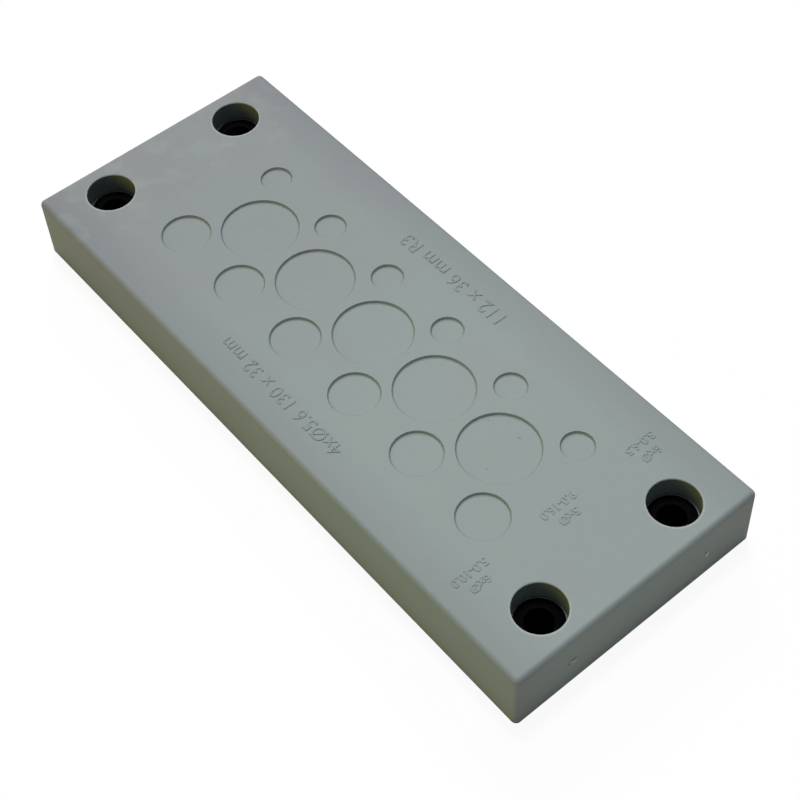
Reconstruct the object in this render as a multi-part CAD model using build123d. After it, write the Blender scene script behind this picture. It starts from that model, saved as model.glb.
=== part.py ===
from build123d import *
import os
from math import sqrt

# Cable entry plate: a soft sealing moulding with thin pierceable membranes, moulded round a rigid frame.
# Millimetres. Origin at the centre of the underside, +X along the plate, +Z out of the cable face.

# Cable entries: three staggered rows, the large one in the middle, at one pitch along the plate
large_entry_diameter = 16.0
large_entry_count = 5
large_entry_wall = 2.0
large_row_y = 0.8
medium_entry_diameter = 10.2
medium_entry_count = 6
medium_row_wall = 1.8
small_entry_diameter = 6.6
small_entry_count = 6
small_row_wall = 2.9

# Recess that marks each entry on the cable face, the membrane under it and the sleeve behind that
recess_depth = 0.45
recess_wall_run = 0.25
membrane_thickness = 1.0
sleeve_lead_in = 0.5

# Margins round the field of entries, out to the window of the frame and on to the screws
field_end_margin = 5.9
field_side_margin = 1.82
screw_end_offset = 9.0
screw_spacing_y = 32.0
screw_hole_diameter = 5.6

# Soft moulding
screw_edge_x = 8.25
screw_edge_y = 12.75
plate_height = 15.0
side_draft = 0.5
edge_radius = 1.1
base_edge_radius = 0.5

# Well that sinks each screw head, down to the rigid seat at its foot
well_diameter = 10.0
well_depth = 4.8
well_mouth_chamfer = 0.15
well_ledge_width = 0.3
well_ledge_height = 0.2

# Rigid frame inside the moulding
skirt_wall = 2.5
seal_squeeze = 0.5
flange_thickness = 3.5
rib_wall = 2.0
rib_inner_radius = 1.0
rib_below_seat = 1.7
boss_wall = 0.5
window_corner_radius = 3.0
anchor_slot_length = 7.0
anchor_slot_land = 0.9
end_anchor_spacing = 11.0

# Soft rim that laps over the frame round its window, and the sealing lip on it
rim_overlap = 3.2
rim_thickness = 1.5
lip_width = 1.6
lip_inset = 1.3
lip_crest_chamfer = 0.25

# Levels above the underside
rear_face_z = seal_squeeze
flange_top_z = rear_face_z + flange_thickness
seat_z = plate_height - well_depth
rib_top_z = seat_z - rib_below_seat
ledge_top_z = seat_z + well_ledge_height
recess_floor_z = plate_height - recess_depth
membrane_back_z = recess_floor_z - membrane_thickness


def row_step(diameter, wall):
    """Distance across the plate from the large row to a row that nests between its entries."""
    centre_gap = (large_entry_diameter + diameter) / 2 + wall
    return sqrt(centre_gap**2 - (entry_pitch / 2) ** 2)


def row_length(diameter, count):
    return (count - 1) * entry_pitch + diameter


# Places of the rows, and the field of entries that they fill
entry_pitch = large_entry_diameter + large_entry_wall
medium_row_y = large_row_y - row_step(medium_entry_diameter, medium_row_wall)
small_row_y = large_row_y + row_step(small_entry_diameter, small_row_wall)
rows = [
    (large_entry_diameter, large_entry_count, large_row_y),
    (medium_entry_diameter, medium_entry_count, medium_row_y),
    (small_entry_diameter, small_entry_count, small_row_y),
]
field_length = max(row_length(diameter, count) for diameter, count, _ in rows)
field_reach = max(abs(row_y) + diameter / 2 for diameter, _, row_y in rows)

# Sizes in plan, from the window outwards
window_length = field_length + 2 * field_end_margin
window_width = 2 * (field_reach + field_side_margin)
screw_spacing_x = window_length + 2 * screw_end_offset
plate_length = screw_spacing_x + 2 * screw_edge_x
plate_width = screw_spacing_y + 2 * screw_edge_y
frame_length = plate_length - 2 * skirt_wall
frame_width = plate_width - 2 * skirt_wall
frame_corner_radius = rib_wall + rib_inner_radius
boss_diameter = well_diameter + 2 * boss_wall
anchor_slot_width = rim_overlap - 2 * anchor_slot_land
rim_length = window_length + 2 * rim_overlap
rim_width = window_width + 2 * rim_overlap
rim_corner_radius = window_corner_radius + rim_overlap
lip_length = rim_length - 2 * lip_inset + lip_width
lip_across = rim_width - 2 * lip_inset + lip_width
lip_corner_radius = rim_corner_radius - lip_inset + lip_width / 2


def row_places(count, row_y):
    """Centres of one row of entries, even about the middle of the plate."""
    first_x = -(count - 1) * entry_pitch / 2
    return [(first_x + i * entry_pitch, row_y) for i in range(count)]


def entries():
    """Diameter and centre of every cable entry."""
    return [(diameter, place) for diameter, count, row_y in rows for place in row_places(count, row_y)]


def screw_places():
    return [(sx * screw_spacing_x / 2, sy * screw_spacing_y / 2) for sx in (-1, 1) for sy in (-1, 1)]


def anchor_slots():
    """Slots through the flange, under the soft rim, that tie the soft material above and below it."""
    side_y = (window_width + rim_overlap) / 2
    end_x = (window_length + rim_overlap) / 2
    along = Rectangle(anchor_slot_length, anchor_slot_width)
    across = Rectangle(anchor_slot_width, anchor_slot_length)
    sides = [Pos(x, sy * side_y) * along for x, _ in row_places(large_entry_count, 0) for sy in (-1, 1)]
    ends = [Pos(sx * end_x, k * end_anchor_spacing) * across for sx in (-1, 1) for k in (-1, 0, 1)]
    return sides + ends


def slab(length, width, corner, low_z, high_z):
    """Flat plate with rounded corners, between two levels."""
    return extrude(Plane.XY.offset(low_z) * RectangleRounded(length, width, corner), high_z - low_z)


def drum(diameter, place, low_z, high_z):
    """Upright cylinder between two levels."""
    return extrude(Plane.XY.offset(low_z) * Pos(*place) * Circle(diameter / 2), high_z - low_z)


def turned(profile, place):
    """Solid turned about an upright axis at place from points of (radius, height)."""
    face = make_face(Plane.XZ * Polyline(*profile, close=True))
    return Pos(*place) * revolve(face, Axis.Z)


def outer_moulding():
    """Block with slightly tapering sides, soft upper and upright edges and a nearly sharp base."""
    block = extrude(Rectangle(plate_length, plate_width), plate_height, taper=side_draft)
    base_edges = block.edges().group_by(Axis.Z)[0]
    block = fillet(block.edges() - base_edges, edge_radius)
    return fillet(block.edges().group_by(Axis.Z)[0], base_edge_radius)


def screw_well(place):
    """Room for a screw head: a round well with an eased mouth and a thin ledge at its foot."""
    radius = well_diameter / 2
    seat_radius = radius - well_ledge_width
    profile = [
        (0, seat_z),
        (seat_radius, seat_z),
        (seat_radius, ledge_top_z),
        (radius, ledge_top_z),
        (radius, plate_height - well_mouth_chamfer),
        (radius + well_mouth_chamfer, plate_height),
        (0, plate_height),
    ]
    return turned(profile, place)


def recess(diameter, place):
    """Shallow round recess whose wall slopes in from the cable face to the membrane."""
    radius = diameter / 2
    profile = [
        (0, recess_floor_z),
        (radius - recess_wall_run, recess_floor_z),
        (radius, plate_height),
        (0, plate_height),
    ]
    return turned(profile, place)


def sleeve_bore(diameter, place):
    """Blind bore from the rear up to the back of the membrane, with a lead-in at its mouth."""
    radius = diameter / 2
    profile = [
        (0, rear_face_z),
        (radius + sleeve_lead_in, rear_face_z),
        (radius, rear_face_z + sleeve_lead_in),
        (radius, membrane_back_z),
        (0, membrane_back_z),
    ]
    return turned(profile, place)


def sealing_lip():
    """Raised loop on the rear, outside the panel cut-out and inside the screws."""
    inner_length = lip_length - 2 * lip_width
    inner_across = lip_across - 2 * lip_width
    loop = slab(lip_length, lip_across, lip_corner_radius, 0, rear_face_z)
    loop -= slab(inner_length, inner_across, lip_corner_radius - lip_width, 0, rear_face_z)
    return chamfer(loop.edges().group_by(Axis.Z)[0], lip_crest_chamfer)


def frame_envelope():
    """The rigid frame before its screw holes: flange, perimeter rib and four bosses."""
    flange = slab(frame_length, frame_width, frame_corner_radius, rear_face_z, flange_top_z)
    flange -= slab(window_length, window_width, window_corner_radius, rear_face_z, flange_top_z)
    flange -= slab(rim_length, rim_width, rim_corner_radius, rear_face_z, rear_face_z + rim_thickness)
    flange -= [extrude(Plane.XY.offset(rear_face_z) * slot, flange_thickness) for slot in anchor_slots()]
    inner_length = frame_length - 2 * rib_wall
    inner_width = frame_width - 2 * rib_wall
    rib = slab(frame_length, frame_width, frame_corner_radius, flange_top_z, rib_top_z)
    rib -= slab(inner_length, inner_width, rib_inner_radius, flange_top_z, rib_top_z)
    frame = flange + rib
    for place in screw_places():
        frame += drum(boss_diameter, place, rear_face_z, seat_z)
    return frame


def carrier_frame():
    """Frame with a clearance hole down each boss, from the seat to the rear."""
    frame = frame_envelope()
    for place in screw_places():
        frame -= drum(screw_hole_diameter, place, rear_face_z, seat_z)
    return frame


def sealing_body():
    """One soft moulding: block, membranes, sleeves, wells and seals, with the frame's room left in it."""
    body = outer_moulding()
    body -= slab(frame_length, frame_width, frame_corner_radius, 0, rear_face_z)
    body -= frame_envelope()
    for place in screw_places():
        body -= screw_well(place)
    body += sealing_lip()
    for diameter, place in entries():
        body -= recess(diameter, place)
        body -= sleeve_bore(diameter, place)
    return body


os.makedirs("parts", exist_ok=True)
export_step(sealing_body(), "parts/sealing_body.step")
export_step(carrier_frame(), "parts/carrier_frame.step")
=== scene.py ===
import math

import bpy
from mathutils import Euler, Matrix, Vector


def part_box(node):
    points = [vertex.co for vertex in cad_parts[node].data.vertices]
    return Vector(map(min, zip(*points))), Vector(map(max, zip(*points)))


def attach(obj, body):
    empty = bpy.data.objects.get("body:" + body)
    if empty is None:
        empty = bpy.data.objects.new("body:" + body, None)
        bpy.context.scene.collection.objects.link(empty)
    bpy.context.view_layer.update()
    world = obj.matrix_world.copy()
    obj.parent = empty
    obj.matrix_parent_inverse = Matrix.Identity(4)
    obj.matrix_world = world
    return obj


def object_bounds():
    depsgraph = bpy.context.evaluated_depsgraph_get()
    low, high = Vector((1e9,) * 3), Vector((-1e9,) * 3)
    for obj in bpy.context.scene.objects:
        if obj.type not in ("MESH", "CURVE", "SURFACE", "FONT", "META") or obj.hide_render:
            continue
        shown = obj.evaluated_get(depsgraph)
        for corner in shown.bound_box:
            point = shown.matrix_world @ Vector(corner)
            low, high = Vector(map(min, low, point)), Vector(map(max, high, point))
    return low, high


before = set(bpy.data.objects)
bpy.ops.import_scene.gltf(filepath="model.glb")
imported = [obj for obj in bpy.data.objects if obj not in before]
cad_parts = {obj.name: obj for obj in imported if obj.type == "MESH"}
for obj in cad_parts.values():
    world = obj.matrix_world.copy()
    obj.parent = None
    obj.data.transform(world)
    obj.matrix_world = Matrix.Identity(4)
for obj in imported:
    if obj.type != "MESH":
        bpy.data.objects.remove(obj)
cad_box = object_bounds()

# Sealing body: one grey thermoplastic elastomer moulding, made round the carrier frame and lying cable
# face up. It comes out of a fine-blasted mould, so its skin is satin and a little cloudy, with a pale
# bloom on its far end. Its colour also holds painted light: a painted highlight round the mouth of each
# well, and painted shade towards its margins and in its closed corners.
MM = 0.001
face_z = cad_box[1].z / MM
far_end_x = cad_box[0].x / MM
half_width = cad_box[1].y / MM
screw_spacing = (130.0, 32.0)


def linear(hex_colour):
    """Linear colour with full alpha from an sRGB hex value such as "#939d9c"."""
    parts = [int(hex_colour[i : i + 2], 16) / 255 for i in (1, 3, 5)]
    return [c / 12.92 if c <= 0.04045 else ((c + 0.055) / 1.055) ** 2.4 for c in parts] + [1.0]


def add_node(owner, kind, inputs=None, **settings):
    """Adds a node to a material or world: settings are its own properties, inputs its values or links.

    A Mix node for colours takes its share at input 0 and its two colours at inputs 6 and 7.
    """
    node = owner.node_tree.nodes.new(kind)
    for name, value in settings.items():
        setattr(node, name, value)
    for name, value in (inputs or {}).items():
        if isinstance(value, bpy.types.NodeSocket):
            owner.node_tree.links.new(value, node.inputs[name])
        else:
            node.inputs[name].default_value = value
    return node


def blank_material(name):
    """A new material with an empty node tree."""
    material = bpy.data.materials.new(name)
    material.use_nodes = True
    material.node_tree.nodes.clear()
    return material


def place_in_mm(material):
    """Socket with the place on the piece, in millimetres."""
    place = add_node(material, "ShaderNodeTexCoord").outputs["Object"]
    scale = (1 / MM, 1 / MM, 1 / MM)
    return add_node(material, "ShaderNodeMapping", {"Vector": place, "Scale": scale}).outputs[0]


def clouded(material, in_mm, along):
    """Bluish grey with broad clouds of a greener grey, and more of that towards the near end."""
    cloud_width = 17.0
    faint_cloud, full_cloud = 0.35, 0.65
    cloud_tone = 0.8
    green_from, green_to = -70.0, 10.0
    least_green, most_green = -0.25, 0.75
    cloud = add_node(
        material,
        "ShaderNodeTexNoise",
        {"Vector": in_mm, "Scale": 1 / cloud_width, "Detail": 3.0, "Roughness": 0.45},
    ).outputs["Fac"]
    cloud_share = add_node(
        material,
        "ShaderNodeMapRange",
        {"Value": cloud, "From Min": faint_cloud, "From Max": full_cloud, "To Max": cloud_tone},
    )
    green_share = add_node(
        material,
        "ShaderNodeMapRange",
        {
            "Value": along,
            "From Min": green_from,
            "From Max": green_to,
            "To Min": least_green,
            "To Max": most_green,
        },
    )
    shares = {0: cloud_share.outputs[0], 1: green_share.outputs[0]}
    greenness = add_node(material, "ShaderNodeMath", shares, operation="ADD", use_clamp=True)
    return add_node(
        material,
        "ShaderNodeMix",
        {0: greenness.outputs[0], 6: linear("#95999d"), 7: linear("#939e9e")},
        data_type="RGBA",
    ).outputs[2]


def speckled(material, in_mm, colour):
    """Small darker speckles, as of dust in the skin."""
    speckle_width = 1.3
    faint_speckle, full_speckle = 0.3, 0.7
    speckle_tone = 0.12
    speckle = add_node(
        material,
        "ShaderNodeTexNoise",
        {"Vector": in_mm, "Scale": 1 / speckle_width, "Detail": 2.0, "Roughness": 0.6},
    ).outputs["Fac"]
    share = add_node(
        material,
        "ShaderNodeMapRange",
        {
            "Value": speckle,
            "From Min": faint_speckle,
            "From Max": full_speckle,
            "To Max": speckle_tone,
        },
    )
    return add_node(
        material,
        "ShaderNodeMix",
        {0: share.outputs[0], 6: colour, 7: linear("#858e8f")},
        data_type="RGBA",
    ).outputs[2]


def painted_shade_at_margins(material, along, across, colour):
    """Painted shade: the grey deepens towards both long edges, and from beyond the middle to the far
    end.
    """
    side_start = 0.62 * half_width
    side_shade = 0.4
    end_start = 20.0
    end_shade = 0.4
    reach = add_node(material, "ShaderNodeMath", {0: across}, operation="ABSOLUTE").outputs[0]
    side_share = add_node(
        material,
        "ShaderNodeMapRange",
        {"Value": reach, "From Min": side_start, "From Max": half_width, "To Max": side_shade},
    )
    end_share = add_node(
        material,
        "ShaderNodeMapRange",
        {"Value": along, "From Min": end_start, "From Max": far_end_x, "To Max": end_shade},
    )
    shares = {0: side_share.outputs[0], 1: end_share.outputs[0]}
    margin_shade = add_node(material, "ShaderNodeMath", shares, operation="ADD")
    return add_node(
        material,
        "ShaderNodeMix",
        {0: margin_shade.outputs[0], 6: colour, 7: linear("#7b7d84")},
        data_type="RGBA",
    ).outputs[2]


def bloomed(material, in_mm, along, height, colour):
    """Faint pale patches of bloom on the cable face, by the two far wells."""
    bloom_width = 4.0
    faint_patch, full_patch = 0.5, 0.68
    bloom_tone = 0.12
    bloom_from, bloom_to = -50.0, -58.0
    side_below, face_below = 1.2, 0.6
    patches = add_node(
        material,
        "ShaderNodeTexNoise",
        {"Vector": in_mm, "Scale": 1 / bloom_width, "Detail": 2.0, "Roughness": 0.5},
    ).outputs["Fac"]
    patch_share = add_node(
        material,
        "ShaderNodeMapRange",
        {"Value": patches, "From Min": faint_patch, "From Max": full_patch, "To Max": bloom_tone},
    )
    far_share = add_node(
        material,
        "ShaderNodeMapRange",
        {"Value": along, "From Min": bloom_from, "From Max": bloom_to},
    )
    face_share = add_node(
        material,
        "ShaderNodeMapRange",
        {"Value": height, "From Min": face_z - side_below, "From Max": face_z - face_below},
    )
    shares = {0: far_share.outputs[0], 1: face_share.outputs[0]}
    where = add_node(material, "ShaderNodeMath", shares, operation="MULTIPLY")
    shares = {0: patch_share.outputs[0], 1: where.outputs[0]}
    bloom = add_node(material, "ShaderNodeMath", shares, operation="MULTIPLY")
    return add_node(
        material,
        "ShaderNodeMix",
        {0: bloom.outputs[0], 6: colour, 7: linear("#b4babb")},
        data_type="RGBA",
    ).outputs[2]


def painted_highlight_at_well_mouths(material, in_mm, colour):
    """Painted highlight, a pale line round each well's mouth: all that lies near enough to a point
    above it.

    The point is shifted towards the near corner, so the line is widest on the near side of the mouth.
    """
    rim_radius = 5.3
    rim_fade = 0.05
    rim_shift = (0.12, -0.09, 0.0)
    rim_lift = 4.0
    rim_highlight = 0.55
    above_well = (screw_spacing[0] / 2, screw_spacing[1] / 2, face_z + rim_lift)
    shifted = add_node(
        material, "ShaderNodeVectorMath", {0: in_mm, 1: rim_shift}, operation="SUBTRACT"
    ).outputs[0]
    quadrant = add_node(
        material, "ShaderNodeVectorMath", {0: shifted}, operation="ABSOLUTE"
    ).outputs[0]
    distance = add_node(
        material, "ShaderNodeVectorMath", {0: quadrant, 1: above_well}, operation="DISTANCE"
    ).outputs["Value"]
    share = add_node(
        material,
        "ShaderNodeMapRange",
        {
            "Value": distance,
            "From Min": math.hypot(rim_radius + rim_fade, rim_lift),
            "From Max": math.hypot(rim_radius - rim_fade, rim_lift),
            "To Max": rim_highlight,
        },
    )
    return add_node(
        material,
        "ShaderNodeMix",
        {0: share.outputs[0], 6: colour, 7: linear("#b4babb")},
        data_type="RGBA",
    ).outputs[2]


def painted_shade_in_corners(material, colour):
    """Painted shade: closed corners, such as the foot of a recess's wall, go dark."""
    corner_width = 0.4
    corner_shade = 0.8
    openness = add_node(
        material,
        "ShaderNodeAmbientOcclusion",
        {"Distance": corner_width * MM},
        samples=6,
        only_local=True,
    ).outputs["AO"]
    share = add_node(
        material,
        "ShaderNodeMapRange",
        {"Value": openness, "From Min": 1.0, "From Max": 0.0, "To Max": corner_shade},
    )
    return add_node(
        material,
        "ShaderNodeMix",
        {0: share.outputs[0], 6: colour, 7: linear("#000000")},
        data_type="RGBA",
    ).outputs[2]


def satin_elastomer(name, edge_rounding):
    """Grey thermoplastic elastomer with a soft sheen; its edges look rounded by edge_rounding mm."""
    # The blasted grain is nearer 0.1 mm wide, and is drawn coarser so that it shows.
    grain_width = 0.3
    grain_height = 0.012
    material = blank_material(name)
    in_mm = place_in_mm(material)
    along, across, height = add_node(material, "ShaderNodeSeparateXYZ", {"Vector": in_mm}).outputs
    colour = clouded(material, in_mm, along)
    colour = speckled(material, in_mm, colour)
    # Painted shade at the margins, a painted highlight round the well mouths and painted shade in
    # closed corners go into the colour here.
    colour = painted_shade_at_margins(material, along, across, colour)
    colour = bloomed(material, in_mm, along, height, colour)
    colour = painted_highlight_at_well_mouths(material, in_mm, colour)
    colour = painted_shade_in_corners(material, colour)
    grain = add_node(
        material,
        "ShaderNodeTexNoise",
        {"Vector": in_mm, "Scale": 1 / grain_width, "Detail": 1.0, "Roughness": 0.5},
    ).outputs["Fac"]
    rounded = add_node(
        material, "ShaderNodeBevel", {"Radius": edge_rounding * MM}, samples=6
    ).outputs[0]
    bump = add_node(
        material,
        "ShaderNodeBump",
        {"Height": grain, "Distance": grain_height * MM, "Strength": 1.0, "Normal": rounded},
    ).outputs[0]
    surface = add_node(
        material,
        "ShaderNodeBsdfPrincipled",
        {
            "Base Color": colour,
            "Roughness": 0.62,
            "IOR": 1.48,
            "Specular IOR Level": 0.35,
            "Normal": bump,
        },
    )
    add_node(material, "ShaderNodeOutputMaterial", {"Surface": surface.outputs[0]})
    return material


def set_material(node, material):
    """Gives a CAD node its one material."""
    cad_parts[node].data.materials.clear()
    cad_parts[node].data.materials.append(material)


set_material("sealing_body", satin_elastomer("satin_moulded_elastomer_grey", 0.05))

# Carrier frame: black glass-filled polyamide, injection moulded. Only its four screw seats show, at the
# foot of the wells; the rest is inside the moulding or faces the panel. Its skin is matt, with a fine
# spark-eroded grain and the faint clouds that the glass fibres leave.


def matt_polyamide():
    """Black glass-filled polyamide: matt and faintly mottled, with painted shade deep in a well."""
    # A fibre is about 0.01 mm thick: this is the width of the clouds that many of them leave.
    fibre_cloud_width = 1.5
    # The eroded grain is nearer 0.1 mm wide, and is drawn coarser so that it shows.
    grain_width = 0.4
    grain_height = 0.02
    well_reach = 5.0
    fully_shaded_at, unshaded_at = 0.6, 0.95
    material = blank_material("matt_moulded_polyamide_black")
    in_mm = place_in_mm(material)
    fibre = add_node(
        material,
        "ShaderNodeTexNoise",
        {"Vector": in_mm, "Scale": 1 / fibre_cloud_width, "Detail": 3.0, "Roughness": 0.6},
    ).outputs["Fac"]
    mottled = add_node(
        material,
        "ShaderNodeMix",
        {0: fibre, 6: linear("#19191b"), 7: linear("#232325")},
        data_type="RGBA",
    ).outputs[2]
    # Painted shade: where it lies shut in, deep in a well, the seat goes nearly black.
    openness = add_node(
        material, "ShaderNodeAmbientOcclusion", {"Distance": well_reach * MM}, samples=6
    ).outputs["AO"]
    unshaded_share = add_node(
        material,
        "ShaderNodeMapRange",
        {"Value": openness, "From Min": fully_shaded_at, "From Max": unshaded_at},
    )
    colour = add_node(
        material,
        "ShaderNodeMix",
        {0: unshaded_share.outputs[0], 6: linear("#040405"), 7: mottled},
        data_type="RGBA",
    ).outputs[2]
    grain = add_node(
        material,
        "ShaderNodeTexNoise",
        {"Vector": in_mm, "Scale": 1 / grain_width, "Detail": 1.0},
    ).outputs["Fac"]
    bump = add_node(
        material,
        "ShaderNodeBump",
        {"Height": grain, "Distance": grain_height * MM, "Strength": 1.0},
    ).outputs[0]
    surface = add_node(
        material,
        "ShaderNodeBsdfPrincipled",
        {
            "Base Color": colour,
            "Roughness": 0.8,
            "IOR": 1.53,
            "Specular IOR Level": 0.02,
            "Normal": bump,
        },
    )
    add_node(material, "ShaderNodeOutputMaterial", {"Surface": surface.outputs[0]})
    return material


set_material("carrier_frame", matt_polyamide())

# Raised sizes: the mould is engraved, so the sizes stand up from the cable face in the same elastomer.
# Each row of entries has its count and its cable sizes by the near wells, and the panel cut-out and the
# screw pattern stand along the sides. All are plain numbers.
mark_skin = satin_elastomer("satin_raised_elastomer_grey", 0.03)


def raised_line(name, words, cap_height, centre, turn, shoulder, stroke_change=0.0):
    """One raised line with sloping shoulders.

    Centre is (x, y) in mm, turn its reading direction in degrees from +X, and shoulder the width in mm
    of the slope that stands out all round the strokes, which stroke_change makes bolder or thinner.
    """
    cap_share_of_type = 0.7
    shoulder_slope = 0.9
    merge_distance = 0.001
    smooth_below = 20.0
    bpy.ops.object.select_all(action="DESELECT")
    bpy.ops.object.text_add()
    line = bpy.context.object
    line.name = name
    text = line.data
    text.body = words
    text.size = cap_height / cap_share_of_type
    text.align_x = "CENTER"
    text.offset = stroke_change
    text.bevel_depth = shoulder
    text.bevel_resolution = 0
    text.resolution_u = 4
    bpy.ops.object.convert(target="MESH")
    line = bpy.context.object
    centred = Matrix.Translation((0, -cap_height / 2, 0))
    flattened = Matrix.Diagonal((1, 1, shoulder_slope, 1)) @ centred
    turned = Matrix.Rotation(math.radians(turn), 4, "Z") @ flattened
    seat = Matrix.Translation((centre[0], centre[1], face_z))
    line.data.transform(Matrix.Scale(MM, 4) @ seat @ turned)
    bpy.ops.object.mode_set(mode="EDIT")
    bpy.ops.mesh.select_all(action="SELECT")
    bpy.ops.mesh.remove_doubles(threshold=merge_distance * MM)
    bpy.ops.mesh.normals_make_consistent(inside=False)
    bpy.ops.object.mode_set(mode="OBJECT")
    bpy.ops.object.shade_smooth_by_angle(angle=math.radians(smooth_below))
    line.data.materials.clear()
    line.data.materials.append(mark_skin)
    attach(line, "root")


row_cap_height = 1.7
row_shoulder = 0.12
row_turn = -90
count_x = 54.95
cable_sizes_x = 52.05
row_marks = [
    ("small", 20.4, "6xØ", "3.0-6.5"),
    ("large", 0.3, "5xØ", "9.0-16.0"),
    ("medium", -20.4, "6xØ", "5.0-10.0"),
]
for row, mark_y, count, cable_sizes in row_marks:
    for name, words, mark_x in (
        (f"raised_count_{row}_row", count, count_x),
        (f"raised_cable_sizes_{row}_row", cable_sizes, cable_sizes_x),
    ):
        raised_line(name, words, row_cap_height, (mark_x, mark_y), row_turn, row_shoulder)

side_shoulder = 0.16
side_stroke_change = -0.08
side_turn = 180
side_mark_x = -0.1
side_marks = [
    ("raised_cutout_size", "112 x 36 mm R3", 3.1, 20.9),
    ("raised_screw_pattern", "4xØ5.6 130 x 32 mm", 2.85, -21.75),
]
for name, words, cap_height, mark_y in side_marks:
    place = (side_mark_x, mark_y)
    raised_line(name, words, cap_height, place, side_turn, side_shoulder, side_stroke_change)

# Blemishes: two gates on the near end face, where the material was fed in and the sprue broke off,
# drawn with a painted highlight on each sunk ledge and painted shadow on its wall and in its pit; and
# three specks of dirt in the nearest large recess.
gate_rise = 0.05
speck_rise = 0.02
# The end face at the gates' height, a little in from its foot by the moulding's draft.
near_face_x = 73.18
recess_depth = 0.45


def dull_skin(name, colour):
    """Elastomer in one flat colour with no sheen, for the gates' painted highlight and shadow and for
    soiled specks.
    """
    material = blank_material(name)
    surface = add_node(
        material,
        "ShaderNodeBsdfPrincipled",
        {"Base Color": linear(colour), "Roughness": 0.9, "Specular IOR Level": 0.1},
    )
    add_node(material, "ShaderNodeOutputMaterial", {"Surface": surface.outputs[0]})
    return material


def blemish(name, skin, centre, half_sizes, turn, axis):
    """A low lens-shaped mark: sizes in mm, turned in degrees about the axis that it stands out on."""
    bpy.ops.object.select_all(action="DESELECT")
    bpy.ops.mesh.primitive_uv_sphere_add(segments=16, ring_count=8, radius=1)
    mark = bpy.context.object
    mark.name = name
    turned = Matrix.Rotation(math.radians(turn), 4, axis)
    place = Matrix.Translation(centre) @ turned @ Matrix.Diagonal((*half_sizes, 1))
    mark.data.transform(Matrix.Scale(MM, 4) @ place)
    bpy.ops.object.shade_smooth()
    mark.data.materials.append(skin)
    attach(mark, "root")


gate_highlight_grey = dull_skin("painted_highlight_elastomer_pale_grey", "#c4c7c3")
gate_highlight_white = dull_skin("painted_highlight_elastomer_white", "#e8eae6")
gate_shadow_dark = dull_skin("painted_shadow_elastomer_dark_grey", "#3c403e")
soiled = dull_skin("soiled_elastomer_mid_grey", "#777d7b")
# Gate marks: the pale ones are painted highlight where the sunk ledge catches light, the dark ones
# painted shadow on its upper wall and in its pit.
gate_marks = [
    ("gate_a_lit_ledge", gate_highlight_grey, (-15.35, 6.8), (0.95, 0.24), -26),
    ("gate_a_shaded_lip", gate_shadow_dark, (-15.5, 7.95), (0.85, 0.1), -4),
    ("gate_a_shaded_pit", gate_shadow_dark, (-16.54, 7.26), (0.16, 0.3), 0),
    ("gate_b_lit_ledge", gate_highlight_white, (17.03, 6.8), (0.55, 0.2), 60),
    ("gate_b_lit_foot", gate_highlight_white, (16.77, 6.31), (0.3, 0.22), 0),
    ("gate_b_shaded_pit", gate_shadow_dark, (16.51, 7.84), (0.26, 0.12), 0),
]
for name, skin, place, half_sizes, turn in gate_marks:
    blemish(name, skin, (near_face_x, *place), (gate_rise, *half_sizes), turn, "X")
specks = [
    ("speck_crescent", (36.5, 5.25), (0.45, 0.09), 30),
    ("speck_left", (29.8, 3.7), (0.12, 0.12), 0),
    ("speck_right", (37.7, -3.7), (0.12, 0.12), 0),
]
for name, place, half_sizes, turn in specks:
    blemish(name, soiled, (*place, face_z - recess_depth), (*half_sizes, speck_rise), turn, "Z")

# Studio: white paper under the plate, a softbox high above it and a more distant one behind, so the
# cable face is bright and its recesses have dark far lines. The end face has light from the paper and
# the dome alone, and the near long side from a cream card as well.
floor_width = 4.0
bpy.ops.object.select_all(action="DESELECT")
bpy.ops.mesh.primitive_plane_add(size=floor_width, location=(0, 0, 0))
floor = bpy.context.object
floor.name = "studio_floor"


def beside_plate(material):
    """Socket that is 1 on all of the floor but what the plate covers, and 0 there."""
    under_edge = 2.0 * MM
    place = add_node(material, "ShaderNodeTexCoord").outputs["Object"]
    axes = add_node(material, "ShaderNodeSeparateXYZ", {"Vector": place}).outputs
    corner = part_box("sealing_body")[1]
    beyond = []
    for i in (0, 1):
        reach = add_node(material, "ShaderNodeMath", {0: axes[i]}, operation="ABSOLUTE").outputs[0]
        limits = {0: reach, 1: corner[i] - under_edge}
        test = add_node(material, "ShaderNodeMath", limits, operation="GREATER_THAN")
        beyond.append(test.outputs[0])
    either = {0: beyond[0], 1: beyond[1]}
    return add_node(material, "ShaderNodeMath", either, operation="MAXIMUM").outputs[0]


def white_paper():
    """Matt white paper with a little light of its own beside the plate.

    The camera sees it there as white, with the plate's shadow faint on it.
    """
    own_light = 0.2
    light_to_camera = 0.93
    material = blank_material("matt_white_paper")
    beside = beside_plate(material)
    seen = add_node(material, "ShaderNodeLightPath").outputs["Is Camera Ray"]
    seen_beside = add_node(
        material, "ShaderNodeMath", {0: seen, 1: beside}, operation="MULTIPLY"
    ).outputs[0]
    light = add_node(
        material, "ShaderNodeMath", {0: beside, 1: own_light}, operation="MULTIPLY"
    ).outputs[0]
    matt = add_node(material, "ShaderNodeBsdfDiffuse", {"Color": linear("#c7c5bd")})
    gleam = add_node(material, "ShaderNodeEmission", {"Color": linear("#fffdf3"), "Strength": light})
    paper = add_node(material, "ShaderNodeAddShader", {0: matt.outputs[0], 1: gleam.outputs[0]})
    shaded = add_node(material, "ShaderNodeBsdfDiffuse", {"Color": linear("#4e4e4f")})
    glow = add_node(
        material, "ShaderNodeEmission", {"Color": linear("#ffffff"), "Strength": light_to_camera}
    )
    shown = add_node(material, "ShaderNodeAddShader", {0: shaded.outputs[0], 1: glow.outputs[0]})
    mixed = add_node(
        material, "ShaderNodeMixShader", {0: seen_beside, 1: paper.outputs[0], 2: shown.outputs[0]}
    )
    add_node(material, "ShaderNodeOutputMaterial", {"Surface": mixed.outputs[0]})
    return material


floor.data.materials.append(white_paper())

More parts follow.
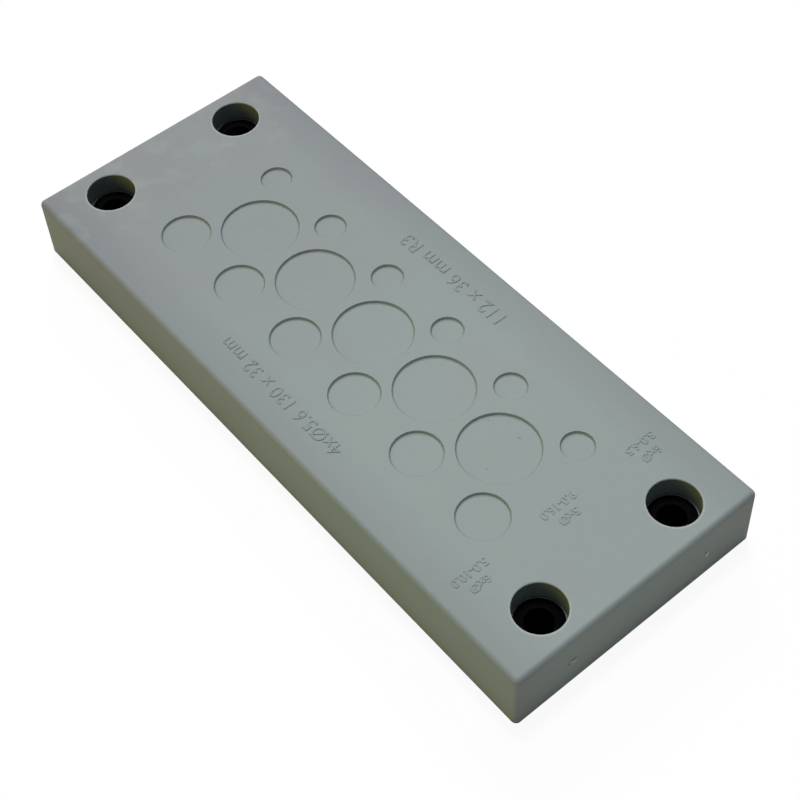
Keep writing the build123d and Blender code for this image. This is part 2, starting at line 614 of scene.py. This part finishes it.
dome_light = 0.065
backdrop_light = 1.0
world = bpy.data.worlds.new("studio_dome")
bpy.context.scene.world = world
world.use_nodes = True
world.node_tree.nodes.clear()
seen = add_node(world, "ShaderNodeLightPath").outputs["Is Camera Ray"]
fill = add_node(
    world, "ShaderNodeBackground", {"Color": linear("#e2f6ff"), "Strength": dome_light}
)
backdrop = add_node(
    world, "ShaderNodeBackground", {"Color": linear("#ffffff"), "Strength": backdrop_light}
)
mixed = add_node(world, "ShaderNodeMixShader", {0: seen, 1: fill.outputs[0], 2: backdrop.outputs[0]})
add_node(world, "ShaderNodeOutputWorld", {"Surface": mixed.outputs[0]})

lamps_aim = Vector((0, 0, 0.01))


def softbox(name, place, size, power, colour):
    """A square lamp that faces the plate: place and size in metres, power in watts."""
    lamp = bpy.data.lights.new(name, "AREA")
    lamp.shape = "SQUARE"
    lamp.size = size
    lamp.energy = power
    lamp.color = linear(colour)[:3]
    holder = bpy.data.objects.new(name, lamp)
    bpy.context.scene.collection.objects.link(holder)
    holder.location = place
    holder.rotation_euler = (holder.location - lamps_aim).to_track_quat("Z", "Y").to_euler()


softbox("overhead_softbox", place=(-0.5, 0.35, 2.76), size=0.6, power=50.7, colour="#ffffff")
softbox("far_softbox", place=(-2.69, 1.87, 2.3), size=0.86, power=60.0, colour="#ffffff")
softbox("cream_card", place=(-0.2, -0.45, 0.14), size=0.3, power=0.48, colour="#fffb38")

# Camera: fitted to the wells, the entries and the outline in the reference view. Its place, lens and
# sensor are in millimetres, its turn in degrees.
camera_place = (163.01, -114.65, 259.92)
camera_turn = (36.728, 2.468, 50.185)
camera_lens = 74.409
camera_sensor = 36.0
camera_data = bpy.data.cameras.new("reference_camera")
camera_data.lens = camera_lens
camera_data.sensor_width = camera_sensor
camera = bpy.data.objects.new("reference_camera", camera_data)
bpy.context.scene.collection.objects.link(camera)
camera.location = Vector(camera_place) * MM
camera.rotation_euler = Euler([math.radians(angle) for angle in camera_turn], "XYZ")
bpy.context.scene.camera = camera
bpy.context.scene.view_settings.view_transform = "Standard"
